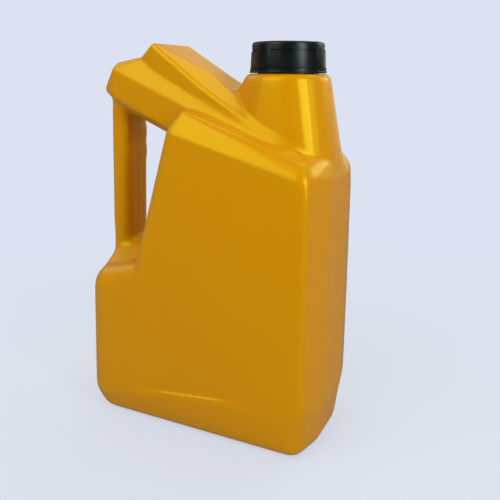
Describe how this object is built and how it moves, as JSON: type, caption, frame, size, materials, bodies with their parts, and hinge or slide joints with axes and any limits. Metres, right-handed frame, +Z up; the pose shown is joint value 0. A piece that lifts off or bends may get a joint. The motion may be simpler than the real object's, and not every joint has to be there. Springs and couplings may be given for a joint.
{
  "type": "engine oil bottle",
  "caption": "Blown plastic oil bottle with a hollow side handle, a conical neck tower and a black screw cap that unscrews from a tamper band.",
  "frame": {"origin": "centre of the bounding box at the standing face", "axes": "+X from the handle to the neck, +Y from the front panel to the back panel, +Z up"},
  "size_m": [0.194, 0.099, 0.29],
  "materials": {
    "yellow_shell": "satin blown polyethylene",
    "black_cap": "satin moulded plastic",
    "white_liner": "matt foam"
  },
  "bodies": {
    "bottle": {"bottle": "yellow_shell"},
    "band": {"tamper_band": "black_cap"},
    "cap": {"cap": "black_cap", "cap_liner": "white_liner"}
  },
  "joints": [
    {"name": "cap_turn", "type": "hinge", "parent": "bottle", "child": "band", "pos_m": [0.0562, 0, 0.27], "axis": [0, 0, 1], "range_deg": [0, 541]},
    {"name": "cap_lift", "type": "slide", "parent": "band", "child": "cap", "axis": [0, 0, 1], "range_m": [0, 0.006]}
  ],
  "couplings": [
    {"joint": "cap_turn", "follows": "cap_lift", "rad_per_m": 1570.8}
  ]
}
